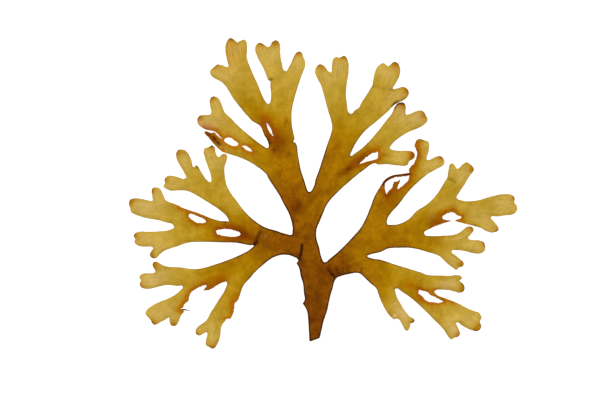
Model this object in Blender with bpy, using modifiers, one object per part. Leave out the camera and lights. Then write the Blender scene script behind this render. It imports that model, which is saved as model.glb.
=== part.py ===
"""Forkweed: one flat brown frond, cut at its stalk, that forks again and again into ribbons.

The frond grew as one piece, so it is one solid.  Its outline is described the way it
grew: a stalk, the ribbons that it forks into, and the tips.  Each ribbon is a few
cross-sections along it, and a fork is the round axil between its two branches.
Millimetres are used for the growth plan, measured from the middle of the stalk's cut
end with +Y up along the stalk.  The finished solid is in metres, lies on z = 0 and is
centred on its own outline.
"""
from collections import namedtuple
import math

import bmesh
import bpy
from mathutils import Vector
from mathutils.geometry import delaunay_2d_cdt, interpolate_bezier

# Driving dimensions, in millimetres unless a name says otherwise
MM = 0.001
STALK_THICKNESS = 1.2
TIP_THICKNESS = 0.65
TIP_THICKNESS_REACH = 75.0
MARGIN_SPREAD = 0.15
MARGIN_STEP = 1.3
MARGIN_TURN = math.radians(22)
SHEET_STEP = 2.3
MARGIN_CLEARANCE = 1.0
LOW_POINTS = (Vector((-35.0, 37.2)), Vector((32.0, 35.7)), Vector((8.3, 75.0)))
FLAT_SPOT = Vector((-2.5, 43.5))
FLAT_SPOT_RADIUS = 4.5
DIP_REACH = 9.0
SHEET_LIFT = 0.7
RIPPLE_START = 12.0
RIPPLE_REACH = 45.0
TIP_LIFT = 0.8
RIPPLE_HEIGHT = 0.8

# The frond's finish: a wet olive brown
WEED_COLOUR = (0.34, 0.17, 0.02, 1.0)
WEED_ROUGHNESS = 0.42

Station = namedtuple("Station", "side x y width sharp")
Tip = namedtuple("Tip", "stations crown")
Fork = namedtuple("Fork", "stations axil first second")


def across(x, y, width):
    """A cross-section of a ribbon: both of its margins, about the point x, y."""
    return Station("both", x, y, width, False)


def left(x, y, sharp=False):
    """A point on the margin at the left hand, looking from the stalk to the tip."""
    return Station("left", x, y, 0.0, sharp)


def right(x, y, sharp=False):
    """A point on the margin at the right hand, looking from the stalk to the tip."""
    return Station("right", x, y, 0.0, sharp)


def tip(stations, crown):
    """A last ribbon, with the points of its round or notched crown from left to right."""
    return Tip(stations, crown)


def fork(stations, axil, first, second):
    """A ribbon that ends in an axil between its left and its right branch."""
    return Fork(stations, axil, first, second)


def left_limb():
    """The limb that leaves the stalk to the left, with all that grows on it."""
    return fork(
        [left(-7.0, 27.9), right(-9.3, 35.1), left(-9.8, 28.6), left(-13.0, 28.1),
         right(-13.1, 36.3), left(-16.0, 26.4), right(-16.7, 37.4)],
        (-20.3, 31.6), lower_left_limb(), upper_left_limb())


def lower_left_limb():
    return fork(
        [across(-18.8, 28.2, 6.4), across(-22.6, 25.4, 7.3), left(-21.6, 21.0)],
        (-29.3, 19.5), hanging_ribbon(), torn_ribbon())


def hanging_ribbon():
    """The ribbon that hangs to the lower left, torn along its left margin."""
    return fork(
        [left(-23.9, 18.4), right(-29.6, 17.2), left(-25.2, 15.0), left(-25.7, 13.5, True),
         left(-26.9, 12.3, True), right(-31.9, 13.3), left(-27.1, 10.3), left(-27.5, 8.6),
         right(-34.7, 8.8), left(-28.2, 7.2, True), left(-29.1, 7.5), left(-30.1, 6.5),
         right(-36.1, 6.4)],
        (-35.7, 2.7),
        tip([left(-31.2, 4.8), across(-33.8, 1.0, 3.9), left(-32.6, -1.1)],
            [(-33.3, -2.2), (-34.2, -2.6), (-35.2, -2.0), (-36.1, -1.4)]),
        tip([left(-36.7, 2.7), left(-37.7, 2.1), right(-37.8, 5.2), right(-39.1, 4.1)],
            [(-38.7, 1.8), (-39.5, 2.6)]))


def torn_ribbon():
    """The ribbon above it, whose lower margin is torn into points."""
    return fork(
        [left(-30.5, 19.5), right(-30.3, 26.0), left(-33.0, 18.2), right(-33.0, 25.1),
         left(-35.4, 16.9), left(-37.1, 16.7, True), right(-37.0, 23.9),
         left(-36.2, 17.5), left(-36.0, 18.4), left(-37.3, 18.3), right(-40.5, 23.5),
         left(-39.7, 17.2)],
        (-43.8, 18.0),
        fork(
            [left(-41.3, 16.1), left(-42.0, 14.7), right(-44.9, 16.3), left(-42.3, 13.2),
             left(-43.6, 12.1, True), right(-47.6, 14.3), left(-44.0, 11.2),
             left(-44.9, 10.2, True), left(-43.6, 9.6, True), right(-50.4, 13.1)],
            (-48.4, 7.7),
            tip([left(-44.7, 8.4), left(-45.4, 6.6), right(-48.3, 6.8)],
                [(-46.1, 5.3), (-47.1, 4.9), (-48.0, 5.5)]),
            tip([across(-51.2, 9.6, 5.8), across(-53.2, 8.5, 5.7)],
                [(-53.6, 5.3), (-54.5, 6.7), (-55.6, 7.9), (-56.3, 9.0)])),
        fork(
            [across(-45.6, 21.2, 5.9), across(-49.0, 21.4, 5.8)],
            (-53.0, 22.6),
            tip([across(-54.6, 19.8, 4.7), across(-56.4, 19.7, 4.9)],
                [(-57.9, 18.0), (-58.1, 19.1), (-57.7, 19.9), (-58.3, 21.0)]),
            tip([right(-50.3, 24.6), left(-53.4, 24.0), right(-51.7, 25.4), left(-53.9, 25.1)],
                [(-53.4, 25.9), (-52.6, 25.9)])))


def upper_left_limb():
    return fork(
        [left(-21.8, 31.8), right(-19.7, 39.2), left(-26.3, 32.6), right(-22.1, 41.2)],
        (-28.6, 39.4), long_left_ribbon(), leaning_left_ribbon())


def long_left_ribbon():
    """The ribbon with two holes, out to the frond's furthest tip at the left."""
    return fork(
        [right(-29.6, 39.45), across(-31.0, 36.1, 6.7), across(-35.0, 36.6, 7.5),
         across(-39.4, 37.5, 9.3), left(-42.6, 32.6), right(-43.8, 43.8)],
        (-46.7, 37.7),
        fork(
            [left(-46.3, 31.3), right(-48.2, 36.6), left(-48.6, 30.6), right(-51.7, 36.1)],
            (-53.7, 30.9),
            tip([left(-50.4, 29.8), left(-51.7, 28.8), right(-54.2, 29.7), left(-52.6, 27.8),
                 right(-54.8, 28.5)],
                [(-53.8, 27.4)]),
            tip([across(-56.2, 33.6, 4.6), across(-58.4, 33.7, 4.5)],
                [(-59.7, 32.3), (-59.9, 32.9), (-59.6, 33.6), (-60.2, 34.7)])),
        fork(
            [across(-48.3, 42.3, 6.7)],
            (-54.0, 46.2),
            tip([across(-56.2, 43.7, 5.5), across(-59.2, 44.5, 5.1)],
                [(-61.0, 42.6), (-61.4, 44.2), (-61.7, 45.6), (-61.2, 46.7)]),
            tip([right(-49.9, 46.6), left(-53.9, 47.5), right(-50.6, 48.1), left(-54.2, 49.4),
                 right(-51.4, 49.8)],
                [(-53.8, 50.5), (-52.1, 50.5)])))


def leaning_left_ribbon():
    """The ribbon that leans up and left, ending in a fan of five tips."""
    return fork(
        [right(-23.9, 43.1), left(-28.7, 40.4), across(-29.0, 45.0, 5.9),
         left(-34.0, 45.1), right(-28.3, 49.0), right(-29.5, 51.3)],
        (-34.6, 52.5),
        fork(
            [left(-37.0, 47.0), right(-35.9, 52.9), left(-39.0, 48.2), right(-37.4, 54.9),
             left(-41.0, 49.3), right(-38.5, 56.7), right(-39.1, 57.8), right(-39.6, 58.0),
             right(-40.1, 57.3)],
            (-42.8, 53.9),
            tip([left(-43.2, 50.0), across(-46.4, 52.2, 4.4), across(-48.4, 52.3, 4.6)],
                [(-49.9, 50.8), (-50.2, 51.4), (-49.7, 52.3), (-49.9, 53.4)]),
            tip([left(-43.2, 55.5), across(-43.2, 59.4, 3.9), across(-44.25, 61.6, 3.7)],
                [(-45.6, 63.0), (-44.9, 63.3), (-43.6, 63.2)])),
        fork(
            [across(-32.3, 54.5, 4.2), across(-32.9, 58.0, 5.3)],
            (-32.1, 60.7),
            tip([across(-34.9, 61.8, 3.5)],
                [(-36.6, 63.8), (-35.6, 64.0), (-34.3, 64.7), (-33.5, 63.8)]),
            tip([right(-29.5, 60.2), left(-31.4, 61.1)], [(-30.2, 61.9), (-29.4, 61.2)])))


def trunk():
    """The middle limb, straight up from the stalk to the two upper limbs."""
    return fork(
        [across(-3.5, 36.4, 7.6), across(-3.2, 39.5, 9.0), across(-3.35, 42.5, 11.4),
         left(-10.2, 45.3), right(4.0, 45.5), left(-11.7, 48.3)],
        (-2.0, 49.2), upper_limb_left(), upper_limb_right())


def upper_limb_left():
    return fork(
        [left(-12.7, 49.9), right(-2.95, 50.5), left(-14.3, 52.3), right(-3.5, 52.3),
         left(-15.6, 54.4),
         right(-5.0, 57.0), right(-5.55, 59.9), across(-10.95, 58.7, 12.2), right(-6.6, 65.5),
         right(-7.5, 66.0, True), right(-7.0, 67.2, True)],
        (-15.6, 63.8), outer_left_ribbon(), inner_left_ribbon())


def outer_left_ribbon():
    """The ribbon to the upper left, with a dark torn strip along its lower side."""
    return fork(
        [right(-17.1, 64.3), left(-21.5, 59.4), right(-18.7, 65.4), left(-25.0, 61.0),
         right(-21.9, 67.9)],
        (-30.8, 66.9),
        tip([left(-29.0, 62.3), left(-30.9, 63.0), left(-33.0, 64.9), right(-31.6, 67.1),
             right(-32.9, 68.1), right(-33.3, 69.0, True), right(-34.7, 68.8),
             left(-35.5, 67.8)],
            [(-36.6, 69.1), (-36.3, 69.4)]),
        fork(
            [right(-26.3, 71.8), left(-31.5, 67.9), left(-33.3, 69.6), right(-28.3, 73.9),
             left(-35.0, 70.0)],
            (-34.5, 75.1),
            tip([left(-36.8, 70.5), right(-36.6, 74.8)],
                [(-38.4, 71.6), (-39.0, 73.0), (-38.3, 74.5)]),
            tip([right(-30.1, 75.6), across(-32.9, 77.8, 3.5), across(-33.4, 79.4, 3.1)],
                [(-34.5, 80.5), (-33.3, 80.9)])))


def inner_left_ribbon():
    """The wide ribbon beside it, up to the frond's highest tips."""
    return fork(
        [left(-15.3, 65.4), left(-16.7, 68.3), right(-7.5, 69.3), left(-18.3, 71.6),
         right(-8.0, 72.5), left(-20.5, 72.9), right(-7.9, 76.5)],
        (-15.5, 78.4),
        fork(
            [left(-22.35, 74.8), right(-16.3, 78.9), across(-20.2, 78.15, 7.8), across(-23.0, 82.65, 9.0)],
            (-28.9, 90.7),
            tip([left(-30.8, 85.9), left(-32.8, 87.0)],
                [(-34.4, 88.2), (-34.7, 89.4), (-33.8, 90.5), (-32.3, 91.6), (-30.6, 91.2)]),
            tip([right(-21.1, 89.2), across(-26.0, 93.8, 6.3), across(-26.2, 97.2, 6.9)],
                [(-29.2, 99.2), (-27.9, 100.4), (-25.8, 98.8), (-23.6, 99.9)])),
        fork(
            [across(-11.0, 79.7, 7.4), across(-10.5, 83.5, 8.4), left(-14.7, 86.3, True),
             left(-15.5, 86.8, True)],
            (-9.7, 89.3),
            tip([across(-14.05, 91.25, 6.0), across(-15.4, 95.3, 7.4)],
                [(-19.7, 97.4), (-18.2, 98.9), (-15.6, 97.3), (-13.2, 99.7), (-11.9, 98.4)]),
            tip([right(-4.7, 88.0), left(-8.7, 90.5), right(-3.4, 92.0), left(-7.4, 93.2),
                 right(-4.1, 94.3)],
                [(-6.2, 95.4), (-5.0, 95.9)])))


def upper_limb_right():
    return fork(
        [left(-0.3, 50.9), right(7.3, 49.3), left(0.3, 53.2), left(1.4, 56.3), right(11.5, 53.1),
         left(2.3, 59.0)],
        (11.7, 61.2), inner_right_ribbon(), outer_right_ribbon())


def inner_right_ribbon():
    """The ribbon that rises at the right of the middle, with four notched tips."""
    return fork(
        [left(4.2, 64.9), right(12.2, 63.3), right(12.8, 64.6), right(14.4, 67.2), left(5.6, 69.0),
         left(5.9, 70.5),
         left(5.5, 73.3), right(16.8, 70.1)],
        (12.0, 75.1),
        fork(
            [across(7.4, 78.0, 6.4), across(6.6, 82.7, 7.3), right(10.5, 86.0)],
            (5.2, 88.8),
            tip([left(2.1, 85.0), left(0.8, 87.4)],
                [(0.2, 89.3), (0.6, 90.8), (1.7, 91.6), (3.3, 90.7)]),
            tip([across(8.4, 90.7, 5.3)],
                [(6.0, 92.9), (7.0, 94.1), (8.3, 93.8), (9.5, 94.5), (10.7, 93.0)])),
        fork(
            [left(13.2, 76.2), across(17.1, 74.8, 6.9), left(15.35, 78.5), right(23.85, 76.05),
             left(16.25, 80.0), left(17.15, 81.3), left(19.3, 84.9, True)],
            (25.8, 83.6),
            tip([across(23.15, 86.45, 7.2), across(24.4, 89.6, 7.6)],
                [(21.4, 91.3), (22.8, 92.1), (24.3, 90.9), (26.4, 92.5), (27.8, 91.5)]),
            tip([right(26.5, 78.6), left(27.4, 83.6), right(29.0, 79.9), left(29.0, 84.1)],
                [(30.3, 83.7), (31.0, 82.5), (30.6, 81.1)])))


def outer_right_ribbon():
    """The ribbon at the upper right, with a hole near its base."""
    return fork(
        [across(14.65, 59.35, 5.9), across(18.7, 62.15, 6.7)],
        (24.7, 63.9),
        fork(
            [across(22.9, 66.9, 6.0), across(26.4, 70.6, 7.0)],
            (30.1, 75.0),
            tip([left(25.8, 75.5), left(26.6, 77.3), right(30.0, 76.7)],
                [(27.4, 78.45), (28.5, 78.95), (29.6, 78.7)]),
            tip([left(31.8, 75.2), right(31.8, 69.8), right(34.4, 70.8), left(33.6, 76.0)],
                [(35.1, 76.3), (36.3, 75.5), (36.6, 74.7), (37.3, 73.7), (36.4, 72.1)])),
        tip([right(20.8, 58.7), right(23.5, 58.8), left(26.0, 63.1), across(28.4, 60.6, 4.6)],
            [(31.4, 62.8), (32.8, 62.2), (33.0, 61.2), (32.3, 60.3), (31.2, 59.7),
             (30.8, 58.5)]))


def right_limb():
    """The limb that leaves the stalk to the right, with all that grows on it."""
    return fork(
        [right(7.2, 20.9), across(6.5, 24.1, 6.4), across(10.2, 26.2, 8.4),
         right(14.6, 22.5)],
        (17.2, 28.0), raised_right_limb(), lower_right_limb())


def raised_right_limb():
    return fork(
        [across(15.3, 31.3, 7.8), across(18.7, 33.55, 10.2)],
        (24.0, 38.4), threaded_ribbon(), far_right_limb())


def threaded_ribbon():
    """The torn ribbon whose left margin is left as a dark thread across a gap."""
    return fork(
        [left(17.0, 40.3), right(23.8, 40.0), left(18.7, 44.4), right(25.1, 42.4), left(20.1, 48.0),
         right(27.6, 45.2), left(22.2, 51.6), right(31.0, 49.6), left(23.2, 53.1),
         left(24.5, 54.1), right(34.0, 52.6), left(26.2, 54.8), left(28.5, 55.1),
         left(31.6, 55.6, True), left(31.5, 56.9, True), right(37.8, 55.7)],
        (37.0, 60.0),
        tip([left(32.7, 58.4), left(33.9, 60.6), right(37.3, 61.9), left(33.9, 63.4),
             left(33.2, 64.8, True)],
            [(33.8, 66.2), (34.8, 66.8), (36.2, 66.4), (37.5, 66.0), (37.8, 64.2)]),
        tip([left(38.6, 60.0), left(40.0, 60.8), right(41.0, 57.5)],
            [(41.4, 61.1), (42.3, 60.6), (42.8, 58.8)]))


def far_right_limb():
    return fork(
        [left(25.2, 38.2), right(24.0, 30.6), across(27.6, 34.6, 7.4), across(31.9, 35.5, 9.4)],
        (36.1, 35.5), holed_right_ribbon(), short_right_ribbon())


def holed_right_ribbon():
    """The ribbon that reaches furthest right, torn open at the lower side of its hole."""
    return fork(
        [left(33.8, 42.7), right(38.3, 37.3), left(37.7, 45.3), right(41.2, 38.6),
         right(43.4, 39.3), right(45.2, 39.9, True), right(42.8, 40.0), right(42.1, 41.0),
         right(43.1, 41.9), right(44.5, 42.6), right(46.2, 42.7), right(47.4, 41.8),
         right(48.9, 41.1), right(48.2, 40.3), right(46.6, 39.8, True), left(40.7, 48.5)],
        (46.9, 47.3),
        tip([right(47.5, 48.8), left(43.1, 52.3), right(49.3, 51.5), left(44.2, 54.2, True),
             left(44.6, 56.8), right(51.4, 55.0)],
            [(44.9, 58.2), (45.8, 58.7), (47.0, 56.9), (48.2, 57.3), (50.1, 59.0),
             (51.7, 58.2), (52.6, 56.8)]),
        fork(
            [left(48.5, 46.4), right(49.8, 39.0), across(52.3, 42.4, 7.8)],
            (58.3, 41.0),
            tip([across(60.0, 44.6, 6.6), across(63.4, 45.1, 6.7)],
                [(65.8, 48.0), (66.3, 46.9), (66.2, 45.7), (66.9, 44.8), (67.1, 43.5),
                 (66.1, 42.2)]),
            tip([right(55.2, 37.5), left(59.3, 39.5), right(57.0, 36.5), left(60.5, 38.0)],
                [(60.9, 36.9), (60.0, 36.2), (58.7, 36.0)])))


def short_right_ribbon():
    """The ribbon below it, with three short tips."""
    return fork(
        [across(38.6, 32.0, 5.4), left(42.3, 34.6)],
        (45.2, 29.7),
        fork(
            [across(47.0, 32.6, 4.9)],
            (50.7, 34.0),
            tip([left(48.9, 36.2), left(50.3, 37.4), right(51.4, 35.1)],
                [(51.6, 37.7), (52.5, 36.9), (52.1, 35.9)]),
            tip([right(50.6, 29.7), left(52.2, 33.2), right(53.6, 29.0), left(54.4, 33.1)],
                [(55.8, 32.6), (56.4, 31.4), (56.2, 29.9), (55.1, 29.1)])),
        tip([right(41.7, 28.0), right(43.2, 26.5), left(46.7, 28.0), right(44.8, 25.1),
             left(48.3, 26.7)],
            [(49.3, 25.4), (48.7, 24.6), (47.8, 24.4), (47.1, 23.6), (46.2, 24.1)]))


def lower_right_limb():
    """The limb to the lower right, with a hole in its longer branch."""
    return fork(
        [left(18.4, 27.2), right(16.3, 21.3), left(21.7, 26.6), right(18.3, 19.3),
         across(23.2, 21.2, 9.6)],
        (26.7, 17.3),
        fork(
            [left(30.9, 23.7), right(29.3, 16.1), across(34.2, 17.9, 9.1), right(36.0, 10.7)],
            (39.6, 16.3),
            tip([left(37.0, 21.65), across(42.0, 19.2, 4.5), across(45.4, 19.0, 4.6)],
                [(48.2, 21.4), (48.7, 20.7), (47.8, 19.7), (49.0, 18.8), (49.6, 17.4),
                 (49.0, 16.2)]),
            fork(
                [left(40.3, 15.1), right(40.0, 6.7), left(43.3, 13.8), left(47.3, 12.2)],
                (46.7, 6.0),
                tip([left(51.2, 10.2), right(49.6, 4.7), left(54.5, 9.0, True),
                     right(51.7, 3.7)],
                    [(55.3, 7.6), (54.7, 6.2), (55.1, 4.8), (54.6, 3.6), (53.4, 3.2)]),
                tip([right(43.2, 3.3), left(46.8, 5.3), left(47.6, 3.6), right(44.6, 1.1)],
                    [(48.0, 2.2), (47.3, 1.3), (46.3, 1.1), (45.5, 0.5)]))),
        fork(
            [right(21.2, 15.7), across(24.3, 14.6, 5.1), across(26.3, 10.6, 5.0),
             right(25.0, 8.3), right(26.3, 7.0, True), right(27.3, 7.4)],
            (31.6, 5.7),
            tip([left(31.5, 7.7)], [(33.0, 6.6), (32.6, 6.0)]),
            tip([right(28.5, 6.5), left(31.5, 4.9), right(29.2, 5.2)],
                [(31.2, 3.8), (30.5, 3.3), (29.8, 4.0)])))


def whole_frond():
    """The frond from its cut stalk up."""
    return fork(
        [left(-1.7, -0.3, True), right(1.4, 0.9, True), across(0.0, 3.0, 3.8),
         across(0.3, 6.8, 4.9), across(0.6, 10.0, 6.5), left(-3.9, 12.2, True),
         left(-3.2, 13.7), across(0.75, 15.2, 8.5), across(0.85, 18.0, 9.7),
         left(-4.5, 21.0), right(6.6, 20.2)],
        (3.2, 25.7),
        fork(
            [left(-5.3, 24.5), left(-6.0, 25.6, True), right(2.0, 27.4), left(-5.4, 26.6),
             right(1.3, 30.5), right(0.3, 34.0)],
            (-7.6, 35.0), left_limb(), trunk()),
        right_limb())


# Holes that are torn right through the ribbons, each a ring of points; True marks a corner
HOLES = (
    [(-42.0, 41.8), (-40.4, 41.8), (-38.7, 41.1), (-37.1, 40.4), (-36.3, 39.4),
     (-37.4, 39.0), (-39.0, 39.1), (-40.8, 40.0)],
    [(-33.0, 36.5, True), (-31.2, 36.85), (-28.8, 36.9), (-26.6, 36.4), (-24.8, 35.4),
     (-25.7, 34.7), (-28.0, 34.45), (-30.6, 34.75), (-32.6, 35.4, True)],
    [(-16.2, 72.4, True), (-15.2, 71.1), (-14.4, 69.6), (-14.0, 68.0, True), (-14.9, 69.0),
     (-15.8, 70.6)],
    [(-30.1, 66.6), (-28.6, 67.4), (-26.8, 66.5), (-25.6, 65.1), (-26.8, 64.7),
     (-28.9, 65.3)],
    [(-24.4, 64.8, True), (-23.1, 64.7), (-21.8, 63.9), (-20.6, 62.6, True), (-22.1, 63.0),
     (-23.4, 63.8)],
    [(14.5, 58.4, True), (16.0, 59.9), (17.6, 61.3), (19.4, 62.3), (20.9, 62.7, True),
     (20.9, 61.4), (20.7, 60.5), (18.6, 59.8), (16.6, 59.3)],
    [(23.6, 52.6), (24.8, 53.4), (26.4, 54.1), (28.5, 54.4), (31.5, 54.8, True), (30.9, 53.1),
     (29.3, 51.6), (27.4, 50.1, True), (27.7, 51.6), (28.3, 52.7), (28.2, 53.5, True),
     (27.2, 52.8), (26.3, 52.8, True), (25.8, 51.2), (24.8, 50.0), (23.7, 48.6, True), (23.3, 50.4)],
    [(34.4, 16.5), (36.0, 16.4), (37.4, 16.0), (38.3, 15.0), (40.0, 14.3), (42.8, 12.8, True),
     (41.4, 12.5), (39.6, 12.65), (37.6, 12.9), (35.9, 14.4)],
)


def side_points(stations, before, after):
    """The left and the right margin of one ribbon, from its base to its end.

    A cross-section lies square to the line between the middles on each side of it.
    """
    middles = [before] + [(s.x, s.y) for s in stations if s.side == "both"] + [after]
    lefts, rights, place = [], [], 0
    for station in stations:
        here = Vector((station.x, station.y))
        if station.side == "both":
            place += 1
            along = Vector(middles[place + 1]) - Vector(middles[place - 1])
            reach = along.orthogonal().normalized() * station.width / 2
            lefts.append((here + reach, station.sharp))
            rights.append((here - reach, station.sharp))
        elif station.side == "left":
            lefts.append((here, station.sharp))
        else:
            rights.append((here, station.sharp))
    return lefts, rights


def margin_points(ribbon, before=(0.0, 0.0)):
    """The margin round a ribbon and all that grows on it, from its left side to its right."""
    if isinstance(ribbon, Tip):
        after = Vector((0.0, 0.0))
        for point in ribbon.crown:
            after += Vector(point) / len(ribbon.crown)
        lefts, rights = side_points(ribbon.stations, before, after)
        end = [(Vector(point), False) for point in ribbon.crown]
    else:
        lefts, rights = side_points(ribbon.stations, before, ribbon.axil)
        middle = (lefts[-1][0] + rights[-1][0]) / 2
        end = margin_points(ribbon.first, middle)
        end += [(Vector(ribbon.axil), False)] + margin_points(ribbon.second, middle)
    return lefts + end + rights[::-1]


def add_ring(curve, points):
    """Add a closed Bezier spline through the points, smooth but where a point is sharp."""
    spline = curve.splines.new("BEZIER")
    spline.bezier_points.add(len(points) - 1)
    spline.use_cyclic_u = True
    for knot, (place, sharp) in zip(spline.bezier_points, points):
        knot.co = (place.x, place.y, 0.0)
        handle = "VECTOR" if sharp else "AUTO"
        knot.handle_left_type = knot.handle_right_type = handle


def frond_rings():
    """The outline and the holes as rings of closely spaced points, in millimetres."""
    curve = bpy.data.curves.new("frond_margin", "CURVE")
    curve.dimensions = "2D"
    add_ring(curve, margin_points(whole_frond()))
    for hole in HOLES:
        add_ring(curve, [(Vector(point[:2]), len(point) > 2) for point in hole])
    guide = bpy.data.objects.new("frond_margin", curve)
    bpy.context.scene.collection.objects.link(guide)
    bpy.context.view_layer.update()
    rings = [spaced_ring(spline) for spline in curve.splines]
    bpy.data.objects.remove(guide)
    bpy.data.curves.remove(curve)
    return [spread_ring(rings[0])] + rings[1:]


def spread_ring(ring):
    """The outline moved out by MARGIN_SPREAD, from inside its soft rim to its very edge."""
    spread = []
    for last, here, following in zip(ring[-1:] + ring[:-1], ring, ring[1:] + ring[:1]):
        out = (following - last).orthogonal().normalized()
        spread.append(here + out * MARGIN_SPREAD)
    return spread


def spaced_ring(spline):
    """Points along a closed Bezier spline: every knot, and more where it is long or turns."""
    ring = []
    knots = list(spline.bezier_points)
    for knot, following in zip(knots, knots[1:] + knots[:1]):
        leaving = knot.handle_right - knot.co
        arriving = following.co - following.handle_left
        pieces = max(1, round((following.co - knot.co).length / MARGIN_STEP),
                     round(leaving.angle(arriving, 0.0) / MARGIN_TURN))
        run = interpolate_bezier(knot.co, knot.handle_right, following.handle_left,
                                 following.co, pieces + 1)
        ring += [point.to_2d() for point in run[:-1]]
    return ring


def lattice(rings):
    """The low points, and a triangular lattice clear of them and of every margin."""
    outline = rings[0]
    low = Vector((min(p.x for p in outline), min(p.y for p in outline)))
    high = Vector((max(p.x for p in outline), max(p.y for p in outline)))
    row_height = SHEET_STEP * math.sqrt(3) / 2
    margin = [point for ring in rings for point in ring] + list(LOW_POINTS)
    points = list(LOW_POINTS)
    for row in range(int((high.y - low.y) / row_height) + 1):
        shift = SHEET_STEP / 2 * (row % 2)
        y = low.y + row * row_height
        near = [point for point in margin if abs(point.y - y) < MARGIN_CLEARANCE]
        for column in range(int((high.x - low.x) / SHEET_STEP) + 1):
            place = Vector((low.x + shift + column * SHEET_STEP, y))
            if all((point - place).length > MARGIN_CLEARANCE for point in near):
                points.append(place)
    return points


def smooth_step(value):
    """0 below 0 and 1 above 1, with a smooth rise between."""
    value = min(max(value, 0.0), 1.0)
    return value * value * (3 - 2 * value)


def underside_height(place):
    """How far the underside is lifted: it rests on its low points and a flat spot."""
    away = (place - FLAT_SPOT).length
    slow = math.sin(place.x / 6.3 + 0.9 * math.sin(place.y / 9.1) + 0.7)
    quick = math.sin(place.y / 4.7 - 1.1 * math.sin(place.x / 7.3) + 2.1)
    ripple = TIP_LIFT + RIPPLE_HEIGHT * (0.6 * slow + 0.4 * quick)
    height = SHEET_LIFT + ripple * smooth_step((away - RIPPLE_START) / RIPPLE_REACH)
    height *= smooth_step((away - FLAT_SPOT_RADIUS) / DIP_REACH)
    for low_point in LOW_POINTS:
        height *= smooth_step((place - low_point).length / DIP_REACH)
    return height


def sheet_thickness(place):
    """Thick at the stalk, thinning steadily towards the tips."""
    return STALK_THICKNESS + (TIP_THICKNESS - STALK_THICKNESS) * smooth_step(
        place.length / TIP_THICKNESS_REACH)


def sheet_mesh():
    """The frond's underside as one triangulated sheet."""
    rings = frond_rings()
    places = [point for ring in rings for point in ring]
    loops, start = [], 0
    for ring in rings:
        loops.append(list(range(start, start + len(ring))))
        start += len(ring)
    places, _, faces, _, _, _ = delaunay_2d_cdt(
        places + lattice(rings), [], loops, 2, 0.001)
    mesh = bpy.data.meshes.new("frond")
    heights = [underside_height(place) for place in places]
    mesh.from_pydata(
        [(place.x * MM, place.y * MM, height * MM) for place, height in zip(places, heights)],
        [], faces)
    return mesh


def weed_material():
    """Wet olive-brown weed."""
    material = bpy.data.materials.new("weed_brown")
    material.use_nodes = True
    material.diffuse_color = WEED_COLOUR
    shader = material.node_tree.nodes["Principled BSDF"]
    shader.inputs["Base Color"].default_value = WEED_COLOUR
    shader.inputs["Roughness"].default_value = WEED_ROUGHNESS
    shader.inputs["Metallic"].default_value = 0.0
    return material


def tidy_sheet(mesh):
    """Drop the lattice points outside the outline and turn every face to look up."""
    sheet = bmesh.new()
    sheet.from_mesh(mesh)
    loose = [vertex for vertex in sheet.verts if not vertex.link_faces]
    bmesh.ops.delete(sheet, geom=loose, context="VERTS")
    down = [face for face in sheet.faces if face.normal.z < 0]
    bmesh.ops.reverse_faces(sheet, faces=down)
    sheet.to_mesh(mesh)
    sheet.free()


def build_frond(collection):
    """The solid frond: the sheet, thickened upwards by its weights."""
    mesh = sheet_mesh()
    tidy_sheet(mesh)
    mesh.materials.append(weed_material())
    mesh.shade_smooth()
    frond = bpy.data.objects.new("frond", mesh)
    collection.objects.link(frond)
    group = frond.vertex_groups.new(name="thickness")
    for vertex in mesh.vertices:
        place = vertex.co.to_2d() / MM
        group.add([vertex.index], sheet_thickness(place) / STALK_THICKNESS, "REPLACE")
    solid = frond.modifiers.new("thickness", "SOLIDIFY")
    solid.thickness = STALK_THICKNESS * MM
    solid.offset = 1.0
    solid.vertex_group = group.name
    bpy.context.view_layer.update()
    corners = [Vector(corner) for corner in frond.bound_box]
    frond.location.x = -(corners[0].x + corners[6].x) / 2
    frond.location.y = -(corners[0].y + corners[6].y) / 2
    return frond


def main():
    for old in list(bpy.data.objects):
        bpy.data.objects.remove(old)
    collection = bpy.data.collections.new("forkweed")
    bpy.context.scene.collection.children.link(collection)
    build_frond(collection)


if __name__ == "__main__":
    main()
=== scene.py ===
"""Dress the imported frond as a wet, translucent-looking forkweed and set it on its stage.

The frond's own mesh gives the outline.  A finer sheet is laid in it, wrinkled, thin at the
margin, and finely toothed where it is torn.  Its colour grows with the weed: brown at the
stalk, olive gold in the ribbons, tan at the tips, with dark margins and rusty rings about
the torn holes.  Places are in millimetres from the middle of the stalk's cut end, +Y up
along the stalk, as in the growth plan that the solid was made from.
"""
import heapq
import math
from types import SimpleNamespace

import bmesh
import bpy
import numpy as np
from bpy.props import FloatProperty, FloatVectorProperty, PointerProperty
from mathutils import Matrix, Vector, kdtree, noise
from mathutils.geometry import delaunay_2d_cdt


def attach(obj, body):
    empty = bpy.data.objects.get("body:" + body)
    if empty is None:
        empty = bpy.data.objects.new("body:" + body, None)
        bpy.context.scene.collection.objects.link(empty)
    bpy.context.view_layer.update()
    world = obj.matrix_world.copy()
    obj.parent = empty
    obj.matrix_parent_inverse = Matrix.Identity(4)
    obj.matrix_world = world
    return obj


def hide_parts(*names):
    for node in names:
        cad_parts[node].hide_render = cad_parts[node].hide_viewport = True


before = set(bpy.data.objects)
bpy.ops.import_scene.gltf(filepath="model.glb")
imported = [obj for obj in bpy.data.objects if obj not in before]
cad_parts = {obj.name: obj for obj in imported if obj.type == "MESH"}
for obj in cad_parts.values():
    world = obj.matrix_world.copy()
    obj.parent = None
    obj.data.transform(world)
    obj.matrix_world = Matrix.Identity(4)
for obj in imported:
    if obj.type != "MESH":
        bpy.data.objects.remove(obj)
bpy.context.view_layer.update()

bl_info = {
    "name": "Forkweed Frond",
    "version": (1, 0, 0),
    "blender": (4, 5, 0),
    "location": "View3D > Sidebar > Forkweed",
    "description": "Builds a wet forkweed frond and its plain stage",
    "category": "Add Mesh",
}

MM = 0.001
TINY = 1e-9
WHITE = (1.0, 1.0, 1.0, 1.0)

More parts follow.
